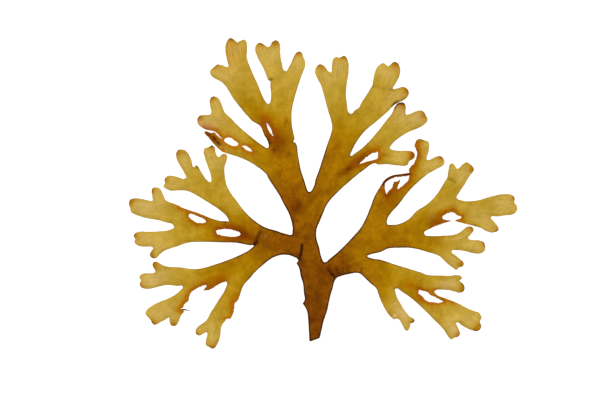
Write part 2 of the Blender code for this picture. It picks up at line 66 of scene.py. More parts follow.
# The middle of the stalk's cut end in the frame, in millimetres
STALK_END = Vector((-2.727, -48.882))

# The solid's own rule for how it lies and how thick it is, in millimetres
STALK_THICKNESS = 1.2
TIP_THICKNESS = 0.65
TIP_THICKNESS_REACH = 75.0
LOW_POINTS = ((-35.0, 37.2), (32.0, 35.7), (8.3, 75.0))
FLAT_SPOT = (-2.5, 43.5)
FLAT_SPOT_RADIUS = 4.5
DIP_REACH = 9.0
SHEET_LIFT = 0.7
RIPPLE_START = 12.0
RIPPLE_REACH = 45.0
TIP_LIFT = 0.8
RIPPLE_HEIGHT = 0.8
# Its two sets of ripples: their share of the height, the length to the radian of the waves
# and of the wave that bends them, and in radians how far it does and where they start
SLOW_RIPPLES = (0.6, 6.3, 9.1, 0.9, 0.7)
QUICK_RIPPLES = (0.4, 4.7, 7.3, -1.1, 2.1)

# Reading the solid: how near its corners are one, in millimetres, how low the normal of a
# face that looks down points, and what turn keeps a corner of the outline sharp
CORNER_WELD = 0.001
FACING_DOWN = -0.5
SHARP_CORNER = math.radians(48)

# Laying out the sheet: the margin's step as a share of the mesh step, and in such steps how
# clear of the margin a row beside it and the lattice stay, and both of the folds.  Last are
# how near its points are one, and the kind of triangulation that leaves holes open
MARGIN_SHARE = 0.6
ROW_CLEARANCE = 0.9
LATTICE_CLEARANCE = 1.6
FOLD_CLEARANCE = 0.8
SHEET_WELD = 0.0005
LEAVE_HOLES_OPEN = 2

# Bumps of a margin and teeth of a torn one: how many coarse and fine ones there are to the
# millimetre, the fine ones' size beside the coarse, and where in the noise each kind lies
MARGIN_BUMPS = (1.7, 5.0, 0.6, 3.1, 8.2)
TORN_TEETH = (2.9, 6.7, 0.9, 6.4, 4.7)

# Fine wrinkles: how many to the millimetre, where in the noise they lie, and how its layers
# weaken, how much finer each is and how many there are.  Wrinkles and creases come in over
# a distance from the margin, and the underside has a share of them
WRINKLE_FINENESS = 0.42
WRINKLE_SLICE = 1.7
WRINKLE_LAYERS = (0.9, 2.1, 3)
WRINKLE_FADE = 0.6
UNDERSIDE_RELIEF = 0.6
CREASE_HALF_WIDTH = 0.42

# Following the growth: how many neighbours to each side a tip stands out from, how many give
# the margin's direction, how near a tip the flow rises and over what distance that comes
# in, how near the start the margin is the cut end, and the most rounds to settle the flow
TIP_WINDOW = 14
FLOW_WINDOW = 5
FLOW_TIP_REACH = 5.0
FLOW_TIP_FADE = 2.0
CUT_REACH = 1.6
MOST_ROUNDS = 600

# Noises in the weed's looks: speckles to the metre, streaks to the millimetre across a tip,
# how fast they change along the weed, and the height of the bumps in millimetres
GRAIN_FINENESS = 1100.0
MOTTLE_FINENESS = 330.0
DRIFT_FINENESS = 90.0
HAIR_MOTTLE_FINENESS = 900.0
FINE_STREAKS = 3.0
BROAD_STREAKS = 1.1
STREAK_CHANGE = 0.11
BUMP_HEIGHT = 0.1

# The stage, in metres: where a side light stands, its size, and what the camera looks down
# at.  Its sensor is in millimetres.  The room dims between two heights, of which 1 is
# straight above, to a share of its light
LIGHT_PLACE = (1.1, 0.25, 0.85)
LIGHT_SIZE = (0.9, 1.4)
VIEW_MIDDLE = (-0.00573, -0.00355)
SENSOR_WIDTH = 36.0
SKY_DIMS = (0.55, 0.95)
SKY_ABOVE = 0.3

# Sharp folds pressed into the sheet: each a line of points and its strength, which sets how deep it is
# pressed and how dark the painted shade in it shows
CREASES = (
    ([(-4.3, 31.9), (-4.5, 29.4), (-5.2, 26.9)], 1.0),
    ([(-18.2, 36.2), (-18.9, 34.8)], 0.5),
    ([(-19.0, 34.4), (-19.6, 33.3)], 0.45),
    ([(-19.3, 32.8), (-20.4, 32.0)], 1.0),
    ([(4.5, 23.3), (5.3, 22.5)], 0.7),
    ([(5.3, 22.1), (6.0, 21.7), (6.9, 20.7)], 1.0),
    ([(6.8, 24.2), (7.4, 23.3), (8.0, 22.0)], 0.45),
    ([(9.3, 24.2), (9.0, 22.8)], 0.3),
    ([(11.3, 24.8), (10.9, 22.8)], 0.35),
    ([(15.4, 23.8), (15.6, 22.4)], 0.4),
    ([(19.3, 84.6), (21.2, 84.0), (23.2, 83.8), (25.4, 83.2)], 0.2),
    ([(44.7, 53.6), (46.6, 52.7)], 0.35),
)

# Places where the tissue is bruised: centre, half length, half width, turn in degrees,
# how dark
BRUISES = (
    (-12.9, 65.4, 3.6, 2.2, 100, 0.42),
    (-10.8, 66.1, 1.7, 1.0, 80, 0.6),
    (-15.0, 66.4, 2.0, 0.8, 105, 1.0),
    (-13.6, 62.8, 1.7, 1.3, 90, 0.75),
    (-9.0, 61.9, 0.9, 0.6, 60, 0.5),
    (-9.6, 73.1, 1.2, 0.5, 85, 0.5),
    (11.4, 57.4, 4.6, 1.3, 38, 0.9),
    (14.6, 60.2, 2.4, 0.6, 42, 0.8),
    (-22.4, 34.4, 2.8, 0.8, -28, 0.8),
    (-19.4, 33.6, 2.6, 1.0, 62, 0.45),
    (8.3, 23.8, 3.2, 1.3, 10, 0.4),
    (16.2, 60.3, 3.0, 0.8, 33, 0.5),
    (-19.8, 32.0, 1.1, 0.8, 60, 1.2),
    (-14.7, 86.8, 1.1, 0.5, 20, 1.1),
    (-39.2, 57.5, 1.0, 0.5, -50, 0.9),
    (-33.6, 67.3, 3.0, 1.2, -38, 1.3),
    (-32.3, 65.9, 2.0, 1.0, -50, 1.0),
    (40.6, 39.4, 3.0, 1.2, 15, 0.4),
    (3.6, 24.6, 2.4, 1.7, 30, 0.62),
    (7.6, 22.6, 1.5, 1.2, 20, 0.7),
    (-0.4, 7.1, 2.4, 1.2, 0, 1.3),
    (-5.8, 44.6, 2.2, 1.6, 20, 0.4),
    (1.6, 36.0, 1.5, 1.0, 0, 0.25),
    (1.6, 2.2, 1.2, 0.5, 80, 0.8),
    (-4.6, 26.8, 0.8, 0.6, 60, 0.8),
    (22.6, 46.4, 2.6, 1.1, 60, 0.4),
)

# The fine dark hair at the torn lower ribbon: its points and its radius at each
HAIR = (((-44.6, 10.15), 0.20), ((-43.9, 10.22), 0.24), ((-43.1, 10.20), 0.22),
        ((-42.5, 10.0), 0.14), ((-41.9, 9.85), 0.09), ((-41.3, 9.8), 0.04))
HAIR_SIDES = 8

# Dark lines: the thread left where a ribbon tore, the facing rims of a tip and the
# neighbour that it nearly touches, and the stalk's right side.  Each is a line of points
# and half the width that it darkens
DARK_LINES = (
    ([(22.3, 51.6), (23.9, 53.6), (26.1, 54.8), (28.9, 55.2), (31.4, 55.3)], 0.65),
    ([(26.4, 77.4), (27.2, 78.4), (28.4, 78.95), (29.5, 78.7)], 0.55),
    ([(25.6, 78.0), (26.6, 79.0), (27.6, 79.6)], 0.35),
    ([(3.3, 7.6), (2.3, 3.8), (1.6, 0.6)], 0.6),
)

# Places where the tissue looks younger (above 0) or older (below 0) than the rest at its
# height: centre, half length, half width, turn in degrees, how much
AGE_PATCHES = (
    (-27.0, 44.0, 8.0, 5.0, 140, 0.10),
    (-21.0, 26.0, 8.0, 5.0, 50, 0.11),
    (14.5, 29.5, 7.0, 5.0, 60, 0.12),
    (29.0, 24.5, 9.0, 3.0, -14, 0.12),
    (-3.0, 26.0, 9.0, 4.0, 95, 0.09),
    (28.0, 11.0, 5.0, 3.0, -48, 0.09),
    (-0.5, 38.0, 6.0, 4.0, 90, 0.05),
    (-50.0, 10.0, 6.0, 5.0, 30, 0.06),
    (-56.0, 44.0, 4.0, 5.0, 90, 0.06),
    (-15.0, 94.0, 6.0, 4.0, 100, 0.04),
    (-8.0, 44.0, 3.5, 3.5, 0, -0.12),
    (-8.5, 51.5, 6.0, 4.5, 120, -0.09),
    (6.5, 23.0, 5.0, 2.6, 10, -0.20),
    (6.5, 61.8, 5.0, 4.0, 0, -0.12),
    (33.0, 36.5, 7.0, 4.0, 30, -0.13),
    (41.0, 42.0, 6.0, 4.5, 30, -0.17),
    (-12.0, 32.5, 5.0, 3.5, 0, -0.04),
    (-12.8, 66.0, 7.0, 4.0, 105, -0.14),
    (14.0, 58.5, 9.0, 3.0, 33, -0.07),
    (25.0, 82.0, 6.0, 4.0, -40, -0.09),
    (-26.0, 97.0, 5.0, 5.0, 0, -0.07),
    (-22.0, 78.0, 6.0, 3.0, 130, -0.05),
    (33.0, 57.0, 7.0, 3.0, 75, -0.13),
    (26.0, 47.0, 4.0, 3.0, 40, -0.10),
    (45.0, 31.0, 7.0, 4.0, -30, -0.07),
    (-20.0, 34.0, 5.0, 4.0, 0, -0.08),
    (35.5, 31.2, 5.0, 2.5, -5, -0.07),
    (24.0, 35.5, 4.0, 3.0, 0, -0.03),
    (-1.5, 43.0, 3.0, 3.0, 0, 0.04),
    (-4.0, 18.5, 2.8, 5.0, 0, 0.09),
    (11.5, 51.0, 4.0, 5.0, 30, 0.07),
    (-20.5, 67.0, 4.8, 3.2, -40, -0.11),
    (-31.0, 59.5, 8.0, 4.0, 15, 0.05),
    (35.5, 12.0, 5.0, 3.0, -45, 0.05),
    (-4.5, 68.0, 3.5, 5.0, 0, 0.04),
    (3.5, 75.5, 3.5, 5.0, 0, 0.04),
)

# Pale spots where the tissue is worn thin or through: centre, half length, half width,
# turn in degrees, how pale
PALE_SPOTS = (
    (26.55, 8.2, 0.42, 0.38, 0, 1.0),
    (26.6, 12.2, 0.5, 0.3, 30, 0.45),
    (-16.4, 34.6, 0.35, 0.35, 0, 0.16),
    (-36.0, 72.0, 2.8, 1.6, -10, 0.2),
    (-56.0, 44.2, 3.0, 1.8, -10, 0.12),
    (-53.5, 19.8, 3.4, 1.8, 0, 0.14),
    (43.3, 18.6, 2.2, 1.2, 0, 0.2),
    (46.2, 3.2, 1.8, 1.8, 0, 0.14),
    (28.9, 76.0, 1.6, 1.6, 0, 0.14),
    (33.5, 74.2, 2.6, 1.5, 20, 0.12),
    (29.0, 9.0, 2.5, 1.6, -40, 0.25),
)

# Places where rust has spread further: centre, half length, half width, turn in degrees,
# how strong
RUST_PATCHES = (
    (-16.8, 74.0, 2.8, 1.6, -20, 0.65),
    (-13.2, 66.8, 4.4, 2.6, 100, 0.65),
    (-9.6, 73.1, 1.5, 0.6, 85, 0.6),
    (12.4, 58.4, 5.6, 1.7, 38, 0.75),
    (21.0, 64.6, 2.6, 1.2, 20, 0.3),
    (22.9, 61.6, 2.2, 0.6, 5, 0.9),
    (-22.8, 34.8, 3.2, 1.3, -28, 0.7),
    (-31.9, 20.8, 3.4, 1.1, 8, 0.8),
    (-33.4, 67.0, 3.2, 1.3, -40, 0.6),
    (-22.7, 63.9, 2.4, 1.0, -35, 0.35),
    (31.6, 18.2, 2.2, 1.1, -8, 0.7),
    (39.6, 40.2, 2.4, 1.7, 20, 0.6),
    (24.8, 47.4, 3.4, 1.8, 60, 0.4),
    (-27.6, 12.6, 2.4, 0.9, 75, 0.5),
    (-6.5, 24.5, 2.6, 0.8, 110, 0.4),
    (-11.0, 49.5, 4.0, 1.0, 120, 0.35),
    (-28.5, 96.5, 4.0, 6.5, 10, 0.3),
    (27.5, 91.5, 3.5, 3.5, 0, 0.2),
)

# Torn stretches of the outer margin, rusty and toothed like the rims of the holes: the
# margin is torn as far as TORN_REACH from these lines, and its teeth come in over TORN_FADE
TORN_MARGINS = (
    [(-31.5, 20.0), (-35.5, 18.0), (-40.0, 18.3), (-43.0, 15.0), (-45.3, 11.0)],
    [(-26.0, 14.0), (-27.4, 10.5), (-28.4, 8.2)],
    [(-44.5, 43.6), (-42.0, 41.2), (-39.3, 39.3), (-36.6, 40.6)],
    [(22.0, 51.0), (24.0, 49.5), (27.0, 51.5), (30.0, 51.0), (31.6, 55.0), (34.3, 60.5), (34.8, 65.0)],
    [(31.0, 18.6), (35.0, 18.0), (39.4, 15.5)],
    [(34.2, 16.0), (38.0, 12.6), (44.0, 12.6)],
    [(-36.0, 69.2), (-31.5, 67.6), (-30.5, 64.2)],
    [(40.3, 38.8), (42.0, 39.3), (43.4, 41.8), (46.6, 42.8), (48.8, 40.0)],
)
TORN_REACH = 1.5
TORN_FADE = 0.5


class ForkweedSizes(bpy.types.PropertyGroup):
    """Sizes of the dressed sheet."""
    mesh_step: FloatProperty(
        name="Mesh Step", description="Distance between the sheet's points, in millimetres",
        default=0.46, min=0.3, max=2.0)
    margin_thickness: FloatProperty(
        name="Margin Thickness", description="Thickness at the very margin, in millimetres",
        default=0.22, min=0.05, max=0.6)
    margin_taper: FloatProperty(
        name="Margin Taper", description="How far in the sheet gets its full thickness",
        default=1.3, min=0.2, max=3.0)
    spread: FloatProperty(
        name="Margin Spread", description="How far the margin is moved out, in millimetres",
        default=0.045, min=0.0, max=0.3)
    ragged: FloatProperty(
        name="Ragged Margin", description="How far the margin strays, in millimetres",
        default=0.05, min=0.0, max=0.3)
    teeth: FloatProperty(
        name="Torn Teeth", description="Size of the fine teeth where the sheet is torn, in millimetres",
        default=0.15, min=0.0, max=0.4)
    wrinkle: FloatProperty(
        name="Wrinkle Height", description="Height of the fine wrinkles, in millimetres",
        default=0.07, min=0.0, max=0.4)
    crease: FloatProperty(
        name="Crease Depth", description="Depth of the pressed folds, in millimetres",
        default=0.16, min=0.0, max=0.5)


def colour(name, description, value):
    """A colour setting."""
    return FloatVectorProperty(name=name, description=description, subtype="COLOR",
                               size=4, min=0.0, max=1.0, default=(*value, 1.0))


class ForkweedColours(bpy.types.PropertyGroup):
    """Colours of the weed, from its stalk to its tips."""
    stalk: colour("Stalk", "Dark brown of the stalk", (0.196, 0.052, 0.0005))
    limb: colour("Limb", "Brown of the limbs near the stalk", (0.258, 0.077, 0.0006))
    ribbon: colour("Ribbon", "Ochre brown of the middle ribbons", (0.355, 0.145, 0.0004))
    ochre: colour("Ochre", "Ochre of the ribbons further out", (0.435, 0.222, 0.0012))
    gold: colour("Gold", "Olive gold of the outer ribbons", (0.505, 0.309, 0.021))
    tip: colour("Tip", "Tan of the youngest tips", (0.583, 0.378, 0.055))
    apex: colour("Apex", "Rusty tint of the rim round a tip", (0.80, 0.53, 0.04))
    tear: colour("Tear", "Rusty tint about a torn hole", (0.90, 0.545, 0.03))
    bruise: colour("Bruise", "Dark brown of bruised tissue", (0.125, 0.019, 0.0002))
    # The margin's dark brown is also the painted shade in the pressed folds
    margin: colour("Margin", "Dark brown of the margin", (0.040, 0.008, 0.0003))
    # Painted light at the very margin, where light comes through the thin edge
    fringe: colour("Fringe", "Warm brown of the very margin, where light comes through",
                   (0.42, 0.17, 0.015))
    # Painted light: the paler glow where light comes through the thin tissue of the tips
    painted_backlight: colour("Painted Backlight", "Pale tan of the translucent tissue in the tips", (0.64, 0.430, 0.10))
    worn: colour("Worn", "Pale pink of a spot worn through", (0.95, 0.66, 0.40))


class ForkweedStage(bpy.types.PropertyGroup):
    """Sizes of the stage and its light."""
    view_width: FloatProperty(
        name="View Width", description="Width that the camera takes in",
        default=0.204, unit="LENGTH")
    lens: FloatProperty(
        name="Lens", description="Focal length, in millimetres", default=150.0, unit="CAMERA")
    floor_size: FloatProperty(
        name="Floor Size", description="Side of the floor", default=3.0, unit="LENGTH")
    floor: colour("Floor", "Pale grey of the glowing floor", (0.3, 0.3, 0.3))
    floor_glow: FloatProperty(
        name="Floor Glow", description="Light that the floor gives off", default=0.92)
    key_power: FloatProperty(
        name="Key Power", description="Strength of each side light", default=9.0, unit="POWER")
    sky: FloatProperty(
        name="Sky", description="Strength of the room's light", default=0.75)


def smooth_step(value):
    """0 below 0 and 1 above 1, with a smooth rise between."""
    value = np.clip(value, 0.0, 1.0)
    return value * value * (3 - 2 * value)


def tree_of(points):
    """A search tree over flat points."""
    tree = kdtree.KDTree(len(points))
    for index, (x, y) in enumerate(points):
        tree.insert((x, y, 0.0), index)
    tree.balance()
    return tree


def reach(points, tree):
    """Each point's distance from the nearest point of a tree."""
    return np.array([tree.find((x, y, 0.0))[2] for x, y in points])


def nearest(points, tree):
    """For each point, the index of the tree's point nearest to it."""
    return [tree.find((x, y, 0.0))[1] for x, y in points]


def clear_of(points, tree, distance):
    """The points that are further than a distance from all the points of a tree."""
    return points[reach(points, tree) > distance]


def off_line(points, line):
    """Each point's distance from a line of points."""
    off = np.full(len(points), np.inf)
    for start, end in zip(line, line[1:]):
        start, end = np.array(start), np.array(end)
        share = ((points - start) @ (end - start)) / ((end - start) @ (end - start))
        foot = start + np.clip(share, 0, 1)[:, None] * (end - start)
        off = np.minimum(off, np.linalg.norm(points - foot, axis=1))
    return off


def off_torn(points):
    """Each point's distance from the nearest line along a torn stretch of the margin."""
    return np.min([off_line(points, line) for line in TORN_MARGINS], axis=0)


def along_line(line, step):
    """Points a step apart along a line of points."""
    points = []
    for start, end in zip(line, line[1:]):
        start, end = np.array(start), np.array(end)
        pieces = max(1, round(np.linalg.norm(end - start) / step))
        points += [start + (end - start) * place / pieces for place in range(pieces)]
    return np.array(points + [np.array(line[-1])])


def rim_rings(node):
    """The rings of points round the underside of a solid, in plan millimetres."""
    solid = bmesh.new()
    solid.from_mesh(node.data)
    bmesh.ops.remove_doubles(solid, verts=solid.verts, dist=CORNER_WELD * MM)
    solid.normal_update()
    links = {}
    for edge in solid.edges:
        down = [face.normal.z < FACING_DOWN for face in edge.link_faces]
        if sum(down) == 1:
            first, second = edge.verts
            links.setdefault(first.index, []).append(second.index)
            links.setdefault(second.index, []).append(first.index)
    solid.verts.ensure_lookup_table()
    places = {index: solid.verts[index].co.to_2d() / MM - STALK_END for index in links}
    solid.free()
    rings = []
    while links:
        here = min(links)
        ring = []
        while here in links:
            ring.append(places[here])
            following = [index for index in links.pop(here) if index in links]
            here = following[0] if following else None
        rings.append(np.array(ring))
    return rings


def smooth_ring(ring, step):
    """A ring's smooth curve with points a step apart, kept sharp at its corners."""
    coming, going = ring - np.roll(ring, 1, axis=0), np.roll(ring, -1, axis=0) - ring
    turn = np.arctan2(coming[:, 0] * going[:, 1] - coming[:, 1] * going[:, 0],
                      (coming * going).sum(axis=1))
    corner = np.abs(turn) > SHARP_CORNER
    lengths = np.linalg.norm(going, axis=1)
    tangent = coming + going
    tangent /= np.maximum(np.linalg.norm(tangent, axis=1), TINY)[:, None]
    points = []
    for place, length in enumerate(lengths):
        following = (place + 1) % len(ring)
        straight = going[place]
        leave = straight if corner[place] else tangent[place] * length
        arrive = straight if corner[following] else tangent[following] * length
        pieces = max(1, round(length / step))
        t = np.arange(pieces)[:, None] / pieces
        points.append((2 * t**3 - 3 * t**2 + 1) * ring[place] + (t**3 - 2 * t**2 + t) * leave
                      + (3 * t**2 - 2 * t**3) * ring[following] + (t**3 - t**2) * arrive)
    return np.concatenate(points)


def outward(points):
    """Unit vectors square to a ring at each of its points."""
    along = np.roll(points, -1, axis=0) - np.roll(points, 1, axis=0)
    square = np.stack([along[:, 1], -along[:, 0]], axis=1)
    return square / np.maximum(np.linalg.norm(square, axis=1), TINY)[:, None]


def turn_sign(ring):
    """1 for a ring that runs anticlockwise and -1 for one that runs clockwise."""
    ahead = np.roll(ring, -1, axis=0)
    return np.sign((ring[:, 0] * ahead[:, 1] - ring[:, 1] * ahead[:, 0]).sum())


def bumps(points, coarse, fine, fine_share, coarse_slice, fine_slice):
    """Noise at each point of a ring: coarse bumps, with finer ones on them."""
    return np.array([noise.noise((x * coarse, y * coarse, coarse_slice))
                     + fine_share * noise.noise((x * fine, y * fine, fine_slice))
                     for x, y in points])


def ragged_ring(points, torn, sizes):
    """A ring made a little uneven, with fine teeth where it is torn."""
    shift = bumps(points, *MARGIN_BUMPS) * sizes.ragged + bumps(points, *TORN_TEETH) * sizes.teeth * torn
    return points + outward(points) * shift[:, None]


def sheet_rings(sizes, step):
    """The rings of the sheet's margin: the outline first, then the torn holes."""
    rings = [smooth_ring(ring, step) for ring in rim_rings(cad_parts["frond"])]
    rings.sort(key=len, reverse=True)
    torn = [smooth_step((TORN_REACH - off_torn(rings[0])) / TORN_FADE)] + [1.0] * (len(rings) - 1)
    rings = [ragged_ring(ring, share, sizes) for ring, share in zip(rings, torn)]
    rings[0] = rings[0] + outward(rings[0]) * turn_sign(rings[0]) * sizes.spread
    return rings


def ring_sides(rings):
    """Where the sides of some rings start and where they end."""
    return np.concatenate(rings), np.concatenate([np.roll(ring, -1, axis=0) for ring in rings])


def inside_only(points, rings):
    """The points that lie inside the outline and out of its holes."""
    starts, ends = ring_sides(rings)
    crossings = np.zeros(len(points), dtype=int)
    for (ax, ay), (bx, by) in zip(starts, ends):
        if ay == by:
            continue
        level = (ay > points[:, 1]) != (by > points[:, 1])
        crossings += level & (points[:, 0] < ax + (points[:, 1] - ay) * (bx - ax) / (by - ay))
    return points[crossings % 2 == 1]


def inside_lattice(rings, step):
    """A triangular lattice of points that lie inside the outline and out of its holes."""
    starts, ends = ring_sides(rings)
    low, high = starts.min(axis=0), starts.max(axis=0)
    rows = []
    for row, y in enumerate(np.arange(low[1], high[1], step * math.sqrt(3) / 2)):
        x = np.arange(low[0] + step / 2 * (row % 2), high[0], step)
        passes = (starts[:, 1] > y) != (ends[:, 1] > y)
        a, b = starts[passes], ends[passes]
        crossings = np.sort(a[:, 0] + (y - a[:, 1]) * (b[:, 0] - a[:, 0]) / (b[:, 1] - a[:, 1]))
        x = x[np.searchsorted(crossings, x) % 2 == 1]
        rows.append(np.stack([x, np.full(len(x), y)], axis=1))
    return np.concatenate(rows)


def crease_points(step):
    """Points along each crease and just beside it, so that the sheet can fold there."""
    points = []
    for line, _ in CREASES:
        middle = along_line(line, step)
        along = np.gradient(middle, axis=0)
        along /= np.linalg.norm(along, axis=1)[:, None]
        aside = np.stack([-along[:, 1], along[:, 0]], axis=1) * step
        points += [middle, middle + aside, middle - aside]
    return np.concatenate(points)


def inner_points(rings, mesh_step, step):
    """The points off the margin: in the folds, in a row along the margin and in a lattice."""
    margin = tree_of(np.concatenate(rings))
    folds = clear_of(inside_only(crease_points(step), rings), margin, step * ROW_CLEARANCE)
    fold_tree = tree_of(folds)
    row = np.concatenate([ring + side * outward(ring) * step for ring in rings for side in (1, -1)])
    row = clear_of(inside_only(row, rings), margin, step * ROW_CLEARANCE)
    lattice = clear_of(inside_lattice(rings, mesh_step), margin, step * LATTICE_CLEARANCE)
    off_folds = [clear_of(points, fold_tree, step * FOLD_CLEARANCE) for points in (row, lattice)]
    return np.concatenate([folds, *off_folds])


def triangles_between(rings, inner):
    """The sheet's points and its triangles, all turned the same way."""
    loops, start = [], 0
    for ring in rings:
        loops.append(list(range(start, start + len(ring))))
        start += len(ring)
    places = [Vector(place) for place in np.concatenate([*rings, inner])]
    places, _, faces, _, _, _ = delaunay_2d_cdt(places, [], loops, LEAVE_HOLES_OPEN, SHEET_WELD)
    places, faces = np.array(places), np.array([face[:3] for face in faces])
    used = np.unique(faces)
    order = np.full(len(places), -1)
    order[used] = np.arange(len(used))
    places, faces = places[used], order[faces]
    a, b, c = (places[faces[:, corner]] for corner in range(3))
    area = (b[:, 0] - a[:, 0]) * (c[:, 1] - a[:, 1]) - (b[:, 1] - a[:, 1]) * (c[:, 0] - a[:, 0])
    faces[area < 0] = faces[area < 0][:, ::-1]
    return places, faces


def sheet_plan(sizes):
    """The finer sheet in plan: its points, its triangles, and the rings of its margin."""
    step = sizes.mesh_step * MARGIN_SHARE
    rings = sheet_rings(sizes, step)
    places, faces = triangles_between(rings, inner_points(rings, sizes.mesh_step, step))
    return places, faces, rings


def face_sides(faces):
    """The three sides of every triangle, each as a pair of points."""
    return np.concatenate([faces[:, [0, 1]], faces[:, [1, 2]], faces[:, [2, 0]]])


def along_sheet(places, pairs, starts):
    """How far each point is from the nearest of the starts, measured along the sheet."""
    lengths = np.linalg.norm(places[pairs[:, 0]] - places[pairs[:, 1]], axis=1)
    links = [[] for _ in places]
    for (a, b), length in zip(pairs.tolist(), lengths.tolist()):
        links[a].append((b, length))
        links[b].append((a, length))
    far = [math.inf] * len(places)
    front = [(0.0, start) for start in starts]
    for _, start in front:
        far[start] = 0.0
    while front:
        reached, here = heapq.heappop(front)
        if reached > far[here]:
            continue
        for there, length in links[here]:
            if reached + length < far[there]:
                far[there] = reached + length
                heapq.heappush(front, (far[there], there))
    return np.array(far)


def tip_points(ring, growth):
    """The points of the outline that lie furthest from the stalk among their neighbours."""
    shifts = range(-TIP_WINDOW, TIP_WINDOW + 1)
    around = np.max([np.roll(growth, shift) for shift in shifts], axis=0)
    return ring[growth >= around]


def ring_flow(ring, growth, apex):
    """The flow value round the outline: steady along the sides, rising across each tip."""
    lengths = np.linalg.norm(np.roll(ring, -1, axis=0) - ring, axis=1)
    rise = np.roll(growth, -FLOW_WINDOW) - np.roll(growth, FLOW_WINDOW)
    run = sum(np.roll(lengths, shift) for shift in range(-FLOW_WINDOW + 1, FLOW_WINDOW + 1))
    at_tip = smooth_step((FLOW_TIP_REACH - apex) / FLOW_TIP_FADE)
    out = np.clip(1.0 - (rise / run)**2, 0.0, 1.0) * at_tip * lengths
    at_stalk = growth < CUT_REACH
    out[at_stalk] = 0.0
    out[at_stalk] = -out.sum() / at_stalk.sum()
    start = int(np.flatnonzero(at_stalk & ~np.roll(at_stalk, -1))[0])
    flow = np.cumsum(np.roll(out, -start))
    return np.roll(flow, start)


def settle(values, fixed, pairs):
    """Fill in the values that aren't fixed, each the mean of its neighbours."""
    count = np.bincount(pairs.ravel(), minlength=len(values))
    first, second = pairs.T

    def pull(vector):
        around = (np.bincount(first, vector[second], len(vector))
                  + np.bincount(second, vector[first], len(vector)))
        return (count * vector - around) * ~fixed

    values = np.where(fixed, values, values[fixed].mean())
    left = -pull(values)
    ready = left / count
    step = ready
    weight = left @ ready
    for _ in range(MOST_ROUNDS):
        if weight < TINY:
            break
        pulled = pull(step)
        stride = weight / (step @ pulled)
        values = values + stride * step
        left = left - stride * pulled
        ready = left / count
        weight, before = left @ ready, weight
        step = ready + weight / before * step
    return values


def sheet_flow(count, pairs, rims, ring_values):
    """A value that stays steady along each streak of the tissue, from stalk to tip."""
    outline, *holes = rims
    values = np.zeros(count)
    fixed = np.zeros(count, dtype=bool)
    values[outline] = ring_values
    fixed[outline] = True
    open_flow = settle(values, fixed, pairs)
    for hole in holes:
        values[hole] = open_flow[hole].mean()
        fixed[hole] = True
    return settle(values, fixed, pairs)


def patch_mask(places, x, y, half_length, half_width, turn):
    """1 in the middle of a long round patch, fading to 0 about it."""
    cos, sin = math.cos(math.radians(turn)), math.sin(math.radians(turn))
    offset = places - (x, y)
    along = (offset[:, 0] * cos + offset[:, 1] * sin) / half_length
    aside = (offset[:, 1] * cos - offset[:, 0] * sin) / half_width
    return np.exp(-(along**2 + aside**2))


def patch_masks(places, patches):
    """The mask of each patch, times the patch's own strength."""
    return [strength * patch_mask(places, *shape) for *shape, strength in patches]


def crease_mask(places):
    """1 in the middle of a pressed fold, fading to 0 beside it."""
    return np.max([depth * np.exp(-(off_line(places, line) / CREASE_HALF_WIDTH)**2)
                   for line, depth in CREASES], axis=0)


def line_mask(places):
    """1 on the dark lines, fading to 0 beside them."""
    return np.max([smooth_step((width - off_line(places, line)) / width * 2.0)
                   for line, width in DARK_LINES], axis=0)


def off_tears(places, rings):
    """How far each point is from a hole or a torn stretch of the outer margin."""
    outline, *holes = rings
    torn = outline[off_torn(outline) < TORN_REACH]
    return reach(places, tree_of(np.concatenate([torn, *holes])))


def sheet_layers(places, faces, rings):
    """The values that the material reads at each point of the sheet, by name."""
    pairs = np.unique(np.sort(face_sides(faces), axis=1), axis=0)
    tree = tree_of(places)
    rims = [nearest(ring, tree) for ring in rings]
    growth = along_sheet(places, pairs, nearest([(0.0, 0.0)], tree))
    tips = tip_points(rings[0], growth[rims[0]])
    apex = reach(places, tree_of(tips))
    young = along_sheet(places, pairs, nearest(tips, tree))
    ring_values = ring_flow(rings[0], growth[rims[0]], apex[rims[0]])
    return {
        "growth": growth,
        "age": growth / (growth + young) + sum(patch_masks(places, AGE_PATCHES)),
        "flow": sheet_flow(len(places), pairs, rims, ring_values),
        "margin": reach(places, tree_of(np.concatenate(rings))),
        "apex": apex,
        "tear": off_tears(places, rings),
        "crease": crease_mask(places),
        "line": line_mask(places),
        "bruise": np.max(patch_masks(places, BRUISES), axis=0),
        "rust": np.max(patch_masks(places, RUST_PATCHES), axis=0),
        "pale": np.max(patch_masks(places, PALE_SPOTS), axis=0),
    }


def ripples(across, along, share, length, bend_length, bend, start):
    """One set of ripples, up to its share of the height, bent by a second wave."""
    return share * np.sin(across / length + bend * np.sin(along / bend_length) + start)


def underside_height(places):
    """How far the underside is lifted: it rests on its low points and a flat spot."""
    x, y = places[:, 0], places[:, 1]
    away = np.linalg.norm(places - FLAT_SPOT, axis=1)
    lift = TIP_LIFT + RIPPLE_HEIGHT * (ripples(x, y, *SLOW_RIPPLES) + ripples(y, x, *QUICK_RIPPLES))
    height = SHEET_LIFT + lift * smooth_step((away - RIPPLE_START) / RIPPLE_REACH)
    height *= smooth_step((away - FLAT_SPOT_RADIUS) / DIP_REACH)
    for low_point in LOW_POINTS:
        height *= smooth_step(np.linalg.norm(places - low_point, axis=1) / DIP_REACH)
    return height


def sheet_thickness(places, margin, sizes):
    """Thick at the stalk, thinning to the tips and to every margin."""
    full = STALK_THICKNESS + (TIP_THICKNESS - STALK_THICKNESS) * smooth_step(
        np.linalg.norm(places, axis=1) / TIP_THICKNESS_REACH)
    share = np.sqrt(smooth_step(margin / sizes.margin_taper))
    return sizes.margin_thickness + (full - sizes.margin_thickness) * share


